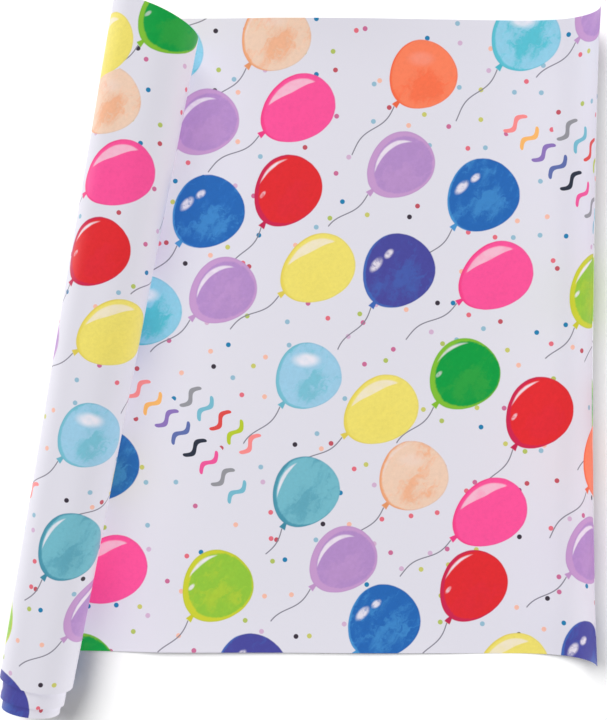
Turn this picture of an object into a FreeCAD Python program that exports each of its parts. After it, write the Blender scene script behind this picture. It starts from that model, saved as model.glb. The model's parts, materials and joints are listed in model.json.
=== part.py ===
"""Wrapping paper roll, partly unrolled on a table.

One printed web lies flat, curls up at its free edge and winds skewed onto a
cardboard core.  +X points from the roll to the free edge, +Y along the web's
width, +Z up.  The table is at Z = 0.  All lengths are in millimetres.
"""
import FreeCAD
import Part
import Sketcher
import math
import os

# Driving dimensions: every sub-part is sized from these cells of the sheet.
SIZES = {
    # the web
    "web_width": 700,
    "paper_thickness": 0.3,
    "layer_gap": 0.25,
    "flat_end": 229,
    # the free edge's curl: a gentle bend, then a tighter one that ends past upright
    "gentle_radius": 200,
    "gentle_angle": 15,
    "tight_radius": 44,
    "tight_angle": 95,
    # where the roll lies
    "skew_angle": 10,
    "contact_offset": -219,
    # the outermost turn, a slightly conical tube
    "outer_radius_low": 39.5,
    "outer_radius_high": 48.8,
    "low_end": -381,
    "high_end": 340,
    "trim_length": 60,
    "trim_side_slope": 0.20,
    "trim_top_slope": 0.13,
    # the spiral inside it, as shares of the space between core and outer turn
    "spiral_start": 0.825,
    "spiral_pitch": 0.158,
    "first_step": 20,
    "second_step": 10,
    "turn_length": 700,
    "seam_angle": 0.5,
    # the strip that leads from the flat web onto the roll
    "lead_in_angle": 72,
    # the core
    "core_radius": 19.5,
    "ply_thickness": 0.75,
    "core_length": 700,
    "core_inset": 6,
    "tape_thickness": 0.3,
    "tape_angle": 50,
    "tape_length": 120,
    "tape_inset": 40,
    # side of the boxes that trim the roll's shells, more than the roll is thick
    "trimmer_side": 200,
}
POINTS_PER_TURN = 24
CONTACT_ANGLE = 270.0
FULL_TURN = 360.0
# Sub-parts that are one turn of the spiral, from the outside in.
SPIRAL_TURNS = ["second_turn", "third_turn", "fourth_turn", "fifth_turn", "inner_turn"]


def add_sizes(document):
    """Put the driving dimensions in a spreadsheet with an alias each."""
    sheet = document.addObject("Spreadsheet::Sheet", "Sizes")
    for row, (alias, value) in enumerate(SIZES.items(), start=1):
        sheet.set(f"A{row}", alias)
        sheet.set(f"B{row}", str(value))
        sheet.setAlias(f"B{row}", alias)
    document.recompute()
    return sheet


def bind(part, **expressions):
    """Bind properties of a part to expressions over the sheet's cells."""
    for name, expression in expressions.items():
        part.setExpression(name, expression)


# ---------------------------------------------------------------- the roll's own frame


def taper(sheet):
    """Growth of the outer radius per millimetre along the roll."""
    length = sheet.high_end + sheet.trim_length - sheet.low_end
    return (sheet.outer_radius_high - sheet.outer_radius_low) / length


def outer_radius(sheet, along):
    """Outer radius of the roll at a distance along its axis from the middle."""
    return sheet.outer_radius_low + taper(sheet) * (along - sheet.low_end)


def roll_placement(sheet):
    """Frame of the roll: x to its left, y up, z along the axis to the far end.

    The axis rises by the cone's half angle, so that the lowest line of the
    roll stays level, above the flat web and the lead-in strip.
    """
    tilt = math.atan(taper(sheet))
    skew = math.radians(sheet.skew_angle)
    along = FreeCAD.Vector(
        math.sin(skew) * math.cos(tilt),
        math.cos(skew) * math.cos(tilt),
        math.sin(tilt),
    )
    left = FreeCAD.Vector(-math.cos(skew), math.sin(skew), 0)
    up = along.cross(left)
    lift = 2 * (sheet.paper_thickness + sheet.layer_gap)
    height = lift + outer_radius(sheet, 0) * math.cos(tilt)
    base = FreeCAD.Vector(sheet.contact_offset, 0, height)
    return FreeCAD.Placement(base, FreeCAD.Rotation(left, up, along, "ZXY"))


def on_roll(sheet, along=0.0, turned=0.0):
    """Placement on the roll's axis, moved along it and turned about it."""
    local = FreeCAD.Placement(
        FreeCAD.Vector(0, 0, along),
        FreeCAD.Rotation(FreeCAD.Vector(0, 0, 1), turned),
    )
    return roll_placement(sheet).multiply(local)


# ---------------------------------------------------------------- the flat web and its free edge


def flat_sheet(document, sheet):
    """The flat part of the web, from the line under the roll to the curl."""
    half = sheet.web_width / 2
    shift = math.tan(math.radians(sheet.skew_angle)) * half
    left_low = "Sizes.contact_offset - tan(Sizes.skew_angle * 1deg) * Sizes.web_width / 2"
    left_high = "Sizes.contact_offset + tan(Sizes.skew_angle * 1deg) * Sizes.web_width / 2"
    corners = [
        (sheet.contact_offset - shift, -half, left_low, "-Sizes.web_width / 2"),
        (sheet.flat_end, -half, "Sizes.flat_end", "-Sizes.web_width / 2"),
        (sheet.flat_end, half, "Sizes.flat_end", "Sizes.web_width / 2"),
        (sheet.contact_offset + shift, half, left_high, "Sizes.web_width / 2"),
    ]
    body, sketch = add_sketch(document, "flat_sheet")
    points = [FreeCAD.Vector(x, y, 0) for x, y, _, _ in corners]
    for index, start in enumerate(points):
        sketch.addGeometry(Part.LineSegment(start, points[(index + 1) % len(points)]), False)
    for index in range(len(points)):
        link = Sketcher.Constraint("Coincident", index, 2, (index + 1) % len(points), 1)
        sketch.addConstraint(link)
    for index, (x, y, x_size, y_size) in enumerate(corners):
        drive(sketch, Sketcher.Constraint("DistanceX", index, 1, x), x_size)
        drive(sketch, Sketcher.Constraint("DistanceY", index, 1, y), y_size)
    pad(body, sketch, "Sizes.paper_thickness")
    return body


def free_edge(document, sheet):
    """The web's free end, curled up by the roll's memory in two bends."""
    far_side = sheet.web_width / 2
    thickness = sheet.paper_thickness
    first_angle = math.radians(sheet.gentle_angle)
    gentle_centre = FreeCAD.Vector(
        sheet.flat_end + sheet.layer_gap, far_side, sheet.gentle_radius
    )
    inward = FreeCAD.Vector(-math.sin(first_angle), 0, math.cos(first_angle))
    tight_centre = gentle_centre - inward * (sheet.gentle_radius - sheet.tight_radius)
    bends = [
        ("gentle_bend", gentle_centre, 0.0, "gentle"),
        ("tight_bend", tight_centre, sheet.gentle_angle, "tight"),
    ]
    arcs = []
    for name, centre, turned, kind in bends:
        # local x points down, so that a bend starts at its lowest line
        down = FreeCAD.Rotation(
            FreeCAD.Vector(0, 0, -1),
            FreeCAD.Vector(1, 0, 0),
            FreeCAD.Vector(0, -1, 0),
            "ZXY",
        )
        spin = FreeCAD.Rotation(FreeCAD.Vector(0, 0, 1), turned)
        placement = FreeCAD.Placement(centre, down.multiply(spin))
        arcs.append(tube_sector(
            document, name, placement,
            f"Sizes.{kind}_radius",
            f"Sizes.{kind}_radius - Sizes.paper_thickness",
            "Sizes.web_width",
            f"Sizes.{kind}_angle",
        ))
    edge = document.addObject("Part::MultiFuse", "free_edge")
    edge.Shapes = arcs
    edge.Refine = False
    return edge


def tube_sector(document, name, placement, outer, inner, height, angle):
    """A sector of a tube, cut from two cylinders."""
    solids = []
    for role, radius in (("outside", outer), ("inside", inner)):
        cylinder = document.addObject("Part::Cylinder", f"{name}_{role}")
        bind(cylinder, Radius=radius, Height=height, Angle=angle)
        cylinder.Placement = placement
        solids.append(cylinder)
    return cut(document, name, *solids)


def cut(document, name, base, tool):
    """Base minus tool."""
    result = document.addObject("Part::Cut", name)
    result.Base = base
    result.Tool = tool
    return result


# ---------------------------------------------------------------- the outermost turn and the lead-in


def cone_shell(document, name, placement, stand_off, angle):
    """A conical shell of paper: its outer face stands off the roll's surface."""
    solids = []
    for role, offset in (("outside", stand_off), ("inside", f"{stand_off} - Sizes.paper_thickness")):
        cone = document.addObject("Part::Cone", f"{name}_{role}")
        bind(
            cone,
            Radius1=f"Sizes.outer_radius_low + {offset}",
            Radius2=f"Sizes.outer_radius_high + {offset}",
            Height="Sizes.high_end + Sizes.trim_length - Sizes.low_end",
            Angle=angle,
        )
        cone.Placement = placement
        solids.append(cone)
    return cut(document, name, *solids)


def outer_turn(document, sheet):
    """The outermost turn: a closed conical tube with an oblique far end."""
    shell = cone_shell(document, "outer_shell", on_roll(sheet, sheet.low_end), "0", "360")
    trimmer = document.addObject("Part::Box", "end_trimmer")
    side = "Sizes.trimmer_side"
    bind(trimmer, Length=side, Width=side, Height=side)
    normal = FreeCAD.Vector(-sheet.trim_side_slope, -sheet.trim_top_slope, 1)
    tilt = FreeCAD.Rotation(FreeCAD.Vector(0, 0, 1), normal)
    corner = FreeCAD.Vector(-sheet.trimmer_side / 2, -sheet.trimmer_side / 2, 0)
    centred = FreeCAD.Placement(corner, FreeCAD.Rotation())
    tilted = FreeCAD.Placement(FreeCAD.Vector(0, 0, sheet.high_end), tilt)
    trimmer.Placement = roll_placement(sheet).multiply(tilted).multiply(centred)
    return cut(document, "outer_turn", shell, trimmer)


def lead_in_strip(document, sheet):
    """The strip that lifts off the flat web and follows the roll up its left side."""
    start = CONTACT_ANGLE - FULL_TURN
    strip = cone_shell(
        document, "lead_in_shell", on_roll(sheet, sheet.low_end, start),
        "Sizes.layer_gap + Sizes.paper_thickness", "Sizes.lead_in_angle",
    )
    width_box = document.addObject("Part::Box", "web_width_box")
    bind(
        width_box,
        Length="Sizes.web_width",
        Width="Sizes.web_width",
        Height="Sizes.trimmer_side",
    )
    width_box.Placement.Base = FreeCAD.Vector(-sheet.web_width, -sheet.web_width / 2, 0)
    trimmed = document.addObject("Part::Common", "lead_in_strip")
    trimmed.Base = strip
    trimmed.Tool = width_box
    return trimmed


# ---------------------------------------------------------------- the spiral inside


def spiral_radius(sheet, turns_in, along):
    """Radius of the paper's outer face, a number of turns inside the outer turn."""
    share = sheet.spiral_start - sheet.spiral_pitch * turns_in
    return sheet.core_radius + share * (outer_radius(sheet, along) - sheet.core_radius)


def spiral_edge(sheet, first_turn, last_turn, along, inset):
    """One edge curve of a turn, at a distance along the roll."""
    count = POINTS_PER_TURN
    points = []
    for step in range(count + 1):
        turns_in = first_turn + (last_turn - first_turn) * step / count
        angle = math.radians(CONTACT_ANGLE + FULL_TURN * turns_in)
        radius = spiral_radius(sheet, turns_in, along) - inset
        points.append(FreeCAD.Vector(radius * math.cos(angle), radius * math.sin(angle), along))
    curve = Part.BSplineCurve()
    curve.interpolate(Points=points, Parameters=[step / count for step in range(count + 1)])
    return curve.toShape(), points[0], points[-1]


def turn_outline(sheet, first_turn, last_turn, along):
    """Closed outline of a turn's paper at a distance along the roll."""
    outside, outside_start, outside_end = spiral_edge(sheet, first_turn, last_turn, along, 0.0)
    inside, inside_start, inside_end = spiral_edge(
        sheet, first_turn, last_turn, along, sheet.paper_thickness
    )
    inner_side = Part.makeLine(outside_end, inside_end)
    outer_side = Part.makeLine(inside_start, outside_start)
    return Part.Wire([outside, inner_side, inside, outer_side])


def spiral_turn(document, sheet, name, index, low_end):
    """One turn of the spiral, lofted from its near outline to its far one."""
    first_turn = index + sheet.seam_angle / FULL_TURN
    near = turn_outline(sheet, first_turn, index + 1, low_end)
    far = turn_outline(sheet, first_turn, index + 1, low_end + sheet.turn_length)
    turn = document.addObject("Part::Feature", name)
    turn.Shape = Part.makeLoft([near, far], True, True)
    turn.Placement = roll_placement(sheet)
    return turn


def spiral_turns(document, sheet):
    """All the inner turns: the second stands out by one step, the rest by two."""
    turns = []
    for index, name in enumerate(SPIRAL_TURNS):
        low_end = sheet.low_end - sheet.first_step
        if index > 0:
            low_end -= sheet.second_step
        turns.append(spiral_turn(document, sheet, name, index, low_end))
    return turns


# ---------------------------------------------------------------- the core


def add_sketch(document, name):
    """A body with an empty sketch on its own XY plane."""
    body = document.addObject("PartDesign::Body", name)
    sketch = body.newObject("Sketcher::SketchObject", f"{name}_sketch")
    plane = next(item for item in body.Origin.OriginFeatures if item.Role == "XY_Plane")
    sketch.AttachmentSupport = [(plane, "")]
    sketch.MapMode = "FlatFace"
    return body, sketch


def drive(sketch, constraint, expression):
    """Add a constraint to a sketch and bind it to the sheet."""
    index = sketch.addConstraint(constraint)
    sketch.setExpression(f"Constraints[{index}]", expression)


def pad(body, sketch, length):
    """Pad a body's sketch by a length from the sheet."""
    feature = body.newObject("PartDesign::Pad", f"{body.Name}_pad")
    feature.Profile = sketch
    bind(feature, Length=length)
    return feature


def core_ply(document, sheet, name, depth):
    """One wound ply of the cardboard tube, a number of plies below its surface."""
    body, sketch = add_sketch(document, name)
    centre = FreeCAD.Vector(0, 0, 0)
    up = FreeCAD.Vector(0, 0, 1)
    for ring in range(2):
        plies_in = depth + ring
        radius = sheet.core_radius - plies_in * sheet.ply_thickness
        circle = sketch.addGeometry(Part.Circle(centre, up, radius), False)
        sketch.addConstraint(Sketcher.Constraint("Coincident", circle, 3, -1, 1))
        size = f"Sizes.core_radius - {plies_in} * Sizes.ply_thickness"
        drive(sketch, Sketcher.Constraint("Radius", circle, radius), size)
    pad(body, sketch, "Sizes.core_length")
    body.Placement = on_roll(sheet, core_low_end(sheet))
    return body


def core_low_end(sheet):
    """The core's near end, a little inside the innermost turns."""
    return sheet.low_end - sheet.first_step - sheet.second_step + sheet.core_inset


def start_tape(document, sheet):
    """The tape on the core under the paper's inner end."""
    start = CONTACT_ANGLE - sheet.tape_angle / 2
    return tube_sector(
        document, "start_tape",
        on_roll(sheet, core_low_end(sheet) + sheet.tape_inset, start),
        "Sizes.core_radius + Sizes.tape_thickness",
        "Sizes.core_radius",
        "Sizes.tape_length",
        "Sizes.tape_angle",
    )


# ---------------------------------------------------------------- build, check and export


def build(document):
    """Build every sub-part and give each the Label that names its file."""
    sheet = add_sizes(document)
    parts = [
        flat_sheet(document, sheet),
        free_edge(document, sheet),
        lead_in_strip(document, sheet),
        outer_turn(document, sheet),
        *spiral_turns(document, sheet),
        core_ply(document, sheet, "core_outer_ply", 0),
        core_ply(document, sheet, "core_inner_ply", 1),
        start_tape(document, sheet),
    ]
    for part in parts:
        part.Label = part.Name
    document.recompute()
    return parts


def check(document, parts):
    """Stop if any object of the document failed or a sub-part has no sound shape."""
    for item in document.Objects:
        if "Invalid" in item.State or "Error" in item.State:
            raise RuntimeError(f"{item.Name} failed: {item.State}")
    for part in parts:
        if part.Shape.isNull() or not part.Shape.isValid():
            raise RuntimeError(f"{part.Label} has no valid shape")


def export(parts):
    """Write one STEP file for each sub-part."""
    os.makedirs("parts", exist_ok=True)
    for part in parts:
        part.Shape.exportStep(f"parts/{part.Label}.step")
        box = part.Shape.BoundBox
        print(
            f"{part.Label}: {len(part.Shape.Solids)} solid, {part.Shape.Volume:.0f} mm3,"
            f" x {box.XMin:.1f}..{box.XMax:.1f}, y {box.YMin:.1f}..{box.YMax:.1f},"
            f" z {box.ZMin:.2f}..{box.ZMax:.2f}"
        )


paper_roll = FreeCAD.newDocument("wrapping_paper_roll")
roll_parts = build(paper_roll)
check(paper_roll, roll_parts)
export(roll_parts)
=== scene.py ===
"""Looks of the wrapping paper roll: printed paper, cardboard core and tape, around the CAD frame.

Every length is in metres in the frame's own axes, apart from the artwork of the
print, which is laid out in millimetres on the flat web.
"""
import json
import math
import bpy
import numpy as np
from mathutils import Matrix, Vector


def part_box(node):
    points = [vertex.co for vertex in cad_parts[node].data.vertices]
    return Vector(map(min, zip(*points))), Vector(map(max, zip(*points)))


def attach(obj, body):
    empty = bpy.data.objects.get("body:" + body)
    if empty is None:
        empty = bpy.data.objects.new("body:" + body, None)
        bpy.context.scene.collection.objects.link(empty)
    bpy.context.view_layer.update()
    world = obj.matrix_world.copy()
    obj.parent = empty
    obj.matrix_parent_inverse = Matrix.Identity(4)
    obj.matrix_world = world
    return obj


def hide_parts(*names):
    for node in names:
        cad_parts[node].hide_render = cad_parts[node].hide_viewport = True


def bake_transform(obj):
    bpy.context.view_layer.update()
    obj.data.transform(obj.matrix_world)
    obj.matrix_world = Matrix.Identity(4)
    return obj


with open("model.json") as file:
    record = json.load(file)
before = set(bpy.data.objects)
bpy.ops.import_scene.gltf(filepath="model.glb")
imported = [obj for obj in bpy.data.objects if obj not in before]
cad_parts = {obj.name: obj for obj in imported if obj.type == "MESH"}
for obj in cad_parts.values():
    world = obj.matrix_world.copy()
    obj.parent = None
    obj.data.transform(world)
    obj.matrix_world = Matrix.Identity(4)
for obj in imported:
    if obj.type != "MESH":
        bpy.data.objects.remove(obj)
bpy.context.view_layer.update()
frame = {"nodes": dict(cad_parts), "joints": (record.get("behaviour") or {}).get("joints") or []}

MM = 0.001
PAPER = 0.3 * MM

# -------- what the frame says


def joint(name):
    """A joint of the record by its name."""
    return next(item for item in frame["joints"] if item["name"] == name)


def node_points(name):
    """All vertices of a CAD node."""
    return np.array([vertex.co for vertex in frame["nodes"][name].data.vertices])


class Roll:
    """The roll's axis, its own directions and the slightly conical outer surface."""

    base = Vector(joint("roll_spin")["pos_m"])
    along = Vector(joint("roll_spin")["axis"]).normalized()
    left = Vector((0, 0, 1)).cross(along).normalized()
    up = along.cross(left)

    def __init__(self):
        distance, radius = self.measure("outer_turn")
        self.growth, self.middle = np.polyfit(distance, radius, 1)
        self.low_end = distance.min()
        self.core_radius = self.measure("core_outer_ply")[1].max()
        self.core_bore = self.measure("core_inner_ply")[1].min()

    def measure(self, name):
        """Distance along the axis and from it, for every vertex of a CAD node."""
        offset = node_points(name) - np.array(self.base)
        distance = offset @ np.array(self.along)
        radial = offset - np.outer(distance, np.array(self.along))
        return distance, np.linalg.norm(radial, axis=1)

    def ends(self, name):
        """How far a CAD node reaches along the axis, at its near and far ends."""
        distance = self.measure(name)[0]
        return distance.min(), distance.max()

    def radius(self, along):
        """Outer radius of the roll at a distance along its axis."""
        return self.middle + self.growth * along + PAPER / 2

    def points(self, angle, radius, along):
        """Points at angles in degrees: 0 at the roll's left, 90 on top, -90 on the table."""
        turn = np.radians(angle)
        across = (radius * np.cos(turn))[..., None] * np.array(self.left)
        rise = (radius * np.sin(turn))[..., None] * np.array(self.up)
        return np.array(self.base) + across + rise + along[..., None] * np.array(self.along)


roll = Roll()
flat_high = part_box("flat_sheet")[1]
HALF_WIDTH = flat_high.y
SKEW = roll.along.x / roll.along.y

# -------- meshes

# Gentle unevenness: waves added up, the shortest one's length, and their usual peak.
WAVES = 5
LEAST_WAVE = 0.22
USUAL_PEAK = 3
SHARP_ANGLE = math.radians(40)


def smooth_noise(seed, *axes):
    """A gentle, repeatable surface of a few sine waves, about -1 to 1, over arrays in metres."""
    draw = np.random.default_rng(seed)
    total = 0.0
    for _ in range(WAVES):
        phase = draw.uniform(0, 2 * math.pi)
        wave = sum(axis * draw.uniform(-1, 1) * 2 * math.pi / LEAST_WAVE for axis in axes)
        total = total + np.sin(wave + phase)
    return total / USUAL_PEAK


def new_object(name, data):
    """A new object in the scene."""
    item = bpy.data.objects.new(name, data)
    bpy.context.scene.collection.objects.link(item)
    return item


def even_steps(start, end, rows):
    """Even steps from start to end, which are numbers or columns of numbers."""
    share = np.linspace(0, 1, rows)[None, :]
    return start * (1 - share) + end * share


def paper_mesh(name, front, back, print_left, print_right, closed=False):
    """A closed sheet of paper between a front and a back grid of points.

    front and back have the shape (columns, rows, 3).  print_left and print_right
    give the place on the print at each face column's two sides.
    """
    columns, rows = front.shape[:2]
    count = columns * rows
    corners = []
    places = []

    def add(face, sides, turned_over=False):
        order = slice(None, None, -1 if turned_over else 1)
        corners.append(np.stack(face, axis=-1)[..., order].reshape(-1, 4))
        places.append(np.stack(sides, axis=-2)[..., order, :].reshape(-1, 4, 2))

    column = np.arange(columns if closed else columns - 1)
    here = column * rows
    beside = (column + 1) % columns * rows
    a = here[:, None] + np.arange(rows - 1)
    b = beside[:, None] + np.arange(rows - 1)
    low_left, high_left = print_left[:, :-1], print_left[:, 1:]
    low_right, high_right = print_right[:, :-1], print_right[:, 1:]
    sides = [low_left, low_right, high_right, high_left]
    add([a, b, b + 1, a + 1], sides)
    add([count + a, count + b, count + b + 1, count + a + 1], sides, turned_over=True)
    for row in (0, rows - 1):
        a, b = here + row, beside + row
        left, right = print_left[:, row], print_right[:, row]
        add([a, b, count + b, count + a], [left, right, right, left], turned_over=row == 0)
    if not closed:
        for column, strip in ((0, print_left[0]), (columns - 1, print_right[-1])):
            a = column * rows + np.arange(rows - 1)
            low, high = strip[:-1], strip[1:]
            face = [a, a + 1, count + a + 1, count + a]
            add(face, [low, high, high, low], turned_over=column > 0)
    mesh = bpy.data.meshes.new(name)
    points = np.concatenate([front.reshape(-1, 3), back.reshape(-1, 3)])
    mesh.from_pydata(points.tolist(), [], np.concatenate(corners).tolist())
    layer = mesh.uv_layers.new(name="print")
    layer.data.foreach_set("uv", np.concatenate(places).astype(np.float32).ravel())
    mesh.validate()
    mesh.shade_smooth()
    mesh.set_sharp_from_angle(angle=SHARP_ANGLE)
    return new_object(name, mesh)


def finish_piece(piece, material, slot, *nodes, body=None):
    """Give a piece its material and its body, and hide the CAD nodes it stands for; slot is not used.
    """
    piece.data.materials.append(material)
    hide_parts(*nodes)
    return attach(piece, body) if body else piece


# -------- the flat web

# The curled piece starts a little before the hinge, where the web is still flat.
BLEND_REACH = 12 * MM
SPLIT_X = flat_high.x - BLEND_REACH
WEB_ROWS = 141
# The web lifts a little where it goes under the roll.
LIFT = 0.55 * MM
LIFT_REACH = 0.03
# It ripples faintly, and lifts along its sides, but lies calm by the roll and the curl.
RIPPLE = 0.5 * MM
RIPPLE_SEED = 3
SIDE_LIFT = 4.5 * MM
SIDE_BAND = 70 * MM
SIDE_SEED = 6
CALM_BY_ROLL = 0.12
CALM_BY_CURL = 0.1
CALM_PAST_HINGE = 0.03
# The curl, as in the CAD: a gentle bend and then a tight one.
CURL_LENGTH = 134 * MM
GENTLE_ANGLE = math.radians(15)
GENTLE_SHARE = 0.44
TIGHT_POWER = 1.05
# How far the edge bends over, in degrees, and how much that varies.
EDGE_ANGLE = 112
CORNER_DROOP = 12
EDGE_WAVE = 2
EDGE_SEED = 8
EDGE_WAVE_STRETCH = 0.6


def contact_x(across):
    """Where the web leaves the table under the roll, at a place across its width."""
    return roll.base.x + SKEW * across


def sheet_height(x, y):
    """How far the web lifts off the table: a faint ripple, and more along its two sides."""
    from_roll = np.clip((x - contact_x(y)) / CALM_BY_ROLL, 0, 1)
    from_curl = np.clip((flat_high.x + CALM_PAST_HINGE - x) / CALM_BY_CURL, 0, 1)
    ripple = RIPPLE * (1 + smooth_noise(RIPPLE_SEED, x, y))
    near_side = np.clip((np.abs(y) - HALF_WIDTH + SIDE_BAND) / SIDE_BAND, 0, 1)
    side = SIDE_LIFT * near_side ** 2 * (1 + 0.5 * smooth_noise(SIDE_SEED, x, y))
    near_roll = np.clip(1 - (x - contact_x(y)) / LIFT_REACH, 0, 1)
    return (ripple + side) * from_roll ** 2 * from_curl ** 2 + LIFT * near_roll ** 2


def main_sheet(material):
    """The flat web from the roll to just before the curl, with its left side under the roll."""
    columns = 110
    across = np.linspace(-HALF_WIDTH, HALF_WIDTH, WEB_ROWS)[None, :]
    share = np.linspace(0, 1, columns)[:, None]
    x = contact_x(across) * (1 - share) + SPLIT_X * share
    y = np.broadcast_to(across, x.shape)
    back = np.stack([x, y, sheet_height(x, y)], axis=-1)
    front = back + np.array([0, 0, PAPER])
    place = np.stack([x, y], axis=-1)
    piece = paper_mesh("main_sheet", front, back, place[:-1], place[1:])
    finish_piece(piece, material, "printed_paper", "flat_sheet")
    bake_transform(piece)
    return piece


def curl_profile(end_angle, steps):
    """A curl seen from the side: distance out, height and direction at even steps of length."""
    share = np.linspace(0, 1, steps)
    gentle = np.clip(share / GENTLE_SHARE, 0, 1)
    tight = np.clip((share - GENTLE_SHARE) / (1 - GENTLE_SHARE), 0, 1)
    angle = GENTLE_ANGLE * gentle ** 2 + (end_angle - GENTLE_ANGLE) * tight ** TIGHT_POWER
    between = (angle[1:] + angle[:-1]) / 2
    step = CURL_LENGTH / (steps - 1)
    out = np.concatenate([[0], np.cumsum(np.cos(between))]) * step
    rise = np.concatenate([[0], np.cumsum(np.sin(between))]) * step
    return out, rise, angle


def curled_end(material):
    """The free end of the web: flat at first, then curling up, more so between its corners."""
    steps = 97
    back = np.zeros((steps, WEB_ROWS, 3))
    front = np.zeros((steps, WEB_ROWS, 3))
    place = np.zeros((steps, WEB_ROWS, 2))
    for row, y in enumerate(np.linspace(-HALF_WIDTH, HALF_WIDTH, WEB_ROWS)):
        corner = abs(y) / HALF_WIDTH
        wave = float(smooth_noise(EDGE_SEED, np.array(y * EDGE_WAVE_STRETCH)))
        end_angle = math.radians(EDGE_ANGLE - CORNER_DROOP * corner ** 3 + EDGE_WAVE * wave)
        out, rise, angle = curl_profile(end_angle, steps)
        rise = rise + sheet_height(SPLIT_X + out, np.full(steps, y))
        back[:, row] = np.stack([SPLIT_X + out, np.full(steps, y), rise], axis=-1)
        normal = np.stack([-np.sin(angle), np.zeros(steps), np.cos(angle)], axis=-1)
        front[:, row] = back[:, row] + PAPER * normal
        place[:, row, 0] = SPLIT_X + np.linspace(0, CURL_LENGTH, steps)
        place[:, row, 1] = y
    piece = paper_mesh("curled_end", front, back, place[:-1], place[1:])
    finish_piece(piece, material, "printed_paper", "free_edge")
    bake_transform(piece)
    return piece


# -------- the roll

# The print runs on round the roll from the flat web, drawn this much smaller than on it.
ROLL_PRINT_SCALE = 1.08
ROLL_PRINT_SHIFT = (-7 * MM, 70 * MM)
ROLL_PRINT_SKEW = 0.027
ROLL_PRINT_PIVOT = 40 * MM
# On the roll's sides the print is spread a little, most where the roll is widest.
SIDE_SPREAD = 0.40
CONTACT_ANGLE = -90.0
# The outer turn's far end, which is oblique, its uneven near end, and its dents.
FAR_END = 0.340
FAR_END_SIDE_SLOPE = 0.20
FAR_END_TOP_SLOPE = 0.13
NEAR_END_WAVE = 1.2 * MM
OUTER_DENT = 0.6 * MM
DENT_SEED = 5
DENT_SPACE = 0.05


def roll_print(angle, along):
    """Place on the print for a point of the roll; angles are counted from the roll's top."""
    turn = np.radians(angle - 90.0)
    spread = SIDE_SPREAD * (turn / 2 - np.sin(2 * turn) / 4)
    arc = roll.radius(along) * (turn - spread)
    skewed = ROLL_PRINT_SKEW * (along - ROLL_PRINT_PIVOT)
    return np.stack([
        ROLL_PRINT_SCALE * arc + skewed + ROLL_PRINT_SHIFT[0],
        ROLL_PRINT_SCALE * along + ROLL_PRINT_SHIFT[1],
    ], axis=-1)


def round_piece(name, angle, outside, inside, along, place, closed=False):
    """A closed sheet round the roll's axis, from an outside to an inside radius."""
    front = roll.points(angle, outside, along)
    back = roll.points(angle, inside, along)
    if closed:
        front, back = front[:-1], back[:-1]
    return paper_mesh(name, front, back, place[:-1], place[1:], closed)


def outer_turn(material):
    """The outermost turn: a closed, slightly conical tube, oblique at its far end."""
    columns, rows = 144, 120
    angle = (CONTACT_ANGLE + 360.0 * np.arange(columns + 1) / columns)[:, None]
    turn = np.radians(angle)
    radius = roll.radius(FAR_END)
    oblique = FAR_END_SIDE_SLOPE * radius * np.cos(turn) + FAR_END_TOP_SLOPE * radius * np.sin(turn)
    near_edge = roll.low_end + NEAR_END_WAVE * np.sin(2 * turn + 0.6)
    along = even_steps(near_edge, FAR_END + oblique, rows)
    # shallow dents, inwards only, so that the turn stays clear of the strip when it turns
    round_roll = (DENT_SPACE * np.cos(turn), DENT_SPACE * np.sin(turn))
    uneven = smooth_noise(DENT_SEED, along, *round_roll)
    dent = OUTER_DENT * np.clip(0.5 + 0.3 * uneven, 0, 1)
    above_table = np.clip(1 + np.sin(turn), 0, 1)
    outside = roll.radius(along) - dent * above_table
    place = roll_print(angle, along)
    piece = round_piece("outer_turn_paper", angle, outside, outside - PAPER, along, place, closed=True)
    return finish_piece(piece, material, "printed_paper", "outer_turn", body="outer_coil")


# The spiral inside the outer turn, as shares of the space between core and outer turn.
SPIRAL_START = 0.825
SPIRAL_PITCH = 0.158
SPIRAL_EDGE_WAVE = 1.0 * MM
# The ribbon starts this share of a turn late, clear of the turn before.
SPIRAL_GAP = 0.002


def spiral(name, first_turn, last_turn, near, far):
    """Some turns of the spiral as one ribbon; turns are counted from the outer turn inwards."""
    per_turn = 72
    spans = int(per_turn * (last_turn - first_turn))
    rows = 90
    turns_in = np.linspace(first_turn + SPIRAL_GAP, last_turn, spans + 1)[:, None]
    angle = 360.0 + CONTACT_ANGLE + 360.0 * turns_in
    edge = near + SPIRAL_EDGE_WAVE * np.sin(np.radians(angle) * 0.8 + 1.0)
    along = even_steps(edge, far, rows)
    space = roll.radius(along) - roll.core_radius
    outside = roll.core_radius + (SPIRAL_START - SPIRAL_PITCH * turns_in) * space
    front = roll.points(angle, outside, along)
    back = roll.points(angle, outside - PAPER, along)
    whole_turns = np.floor(np.linspace(first_turn, last_turn, spans + 1)[:-1] + 1e-6)[:, None]
    left = roll_print(angle[:-1] - 360.0 * (whole_turns + 1), along[:-1])
    right = roll_print(angle[1:] - 360.0 * (whole_turns + 1), along[1:])
    return paper_mesh(name, front, back, left, right)


def second_turn(material):
    """The second turn, which stands out of the near end of the outer one."""
    near, far = roll.ends("second_turn")
    piece = spiral("second_turn_paper", 0, 1, near, far)
    return finish_piece(piece, material, "printed_paper", "second_turn", body="second_coil")


def inner_turns(material):
    """The rest of the spiral, down to the core, as one continuous ribbon."""
    near, far = roll.ends("third_turn")
    piece = spiral("inner_turns_paper", 1, 5, near, far)
    turns = ("third_turn", "fourth_turn", "fifth_turn", "inner_turn")
    return finish_piece(piece, material, "printed_paper", *turns, body="inner_coil")


# The strip up the roll's left side: how far round it goes, and how clear of the roll.
LEAD_IN_TURN = 72.0
LEAD_IN_CLEARANCE = 0.25 * MM


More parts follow.
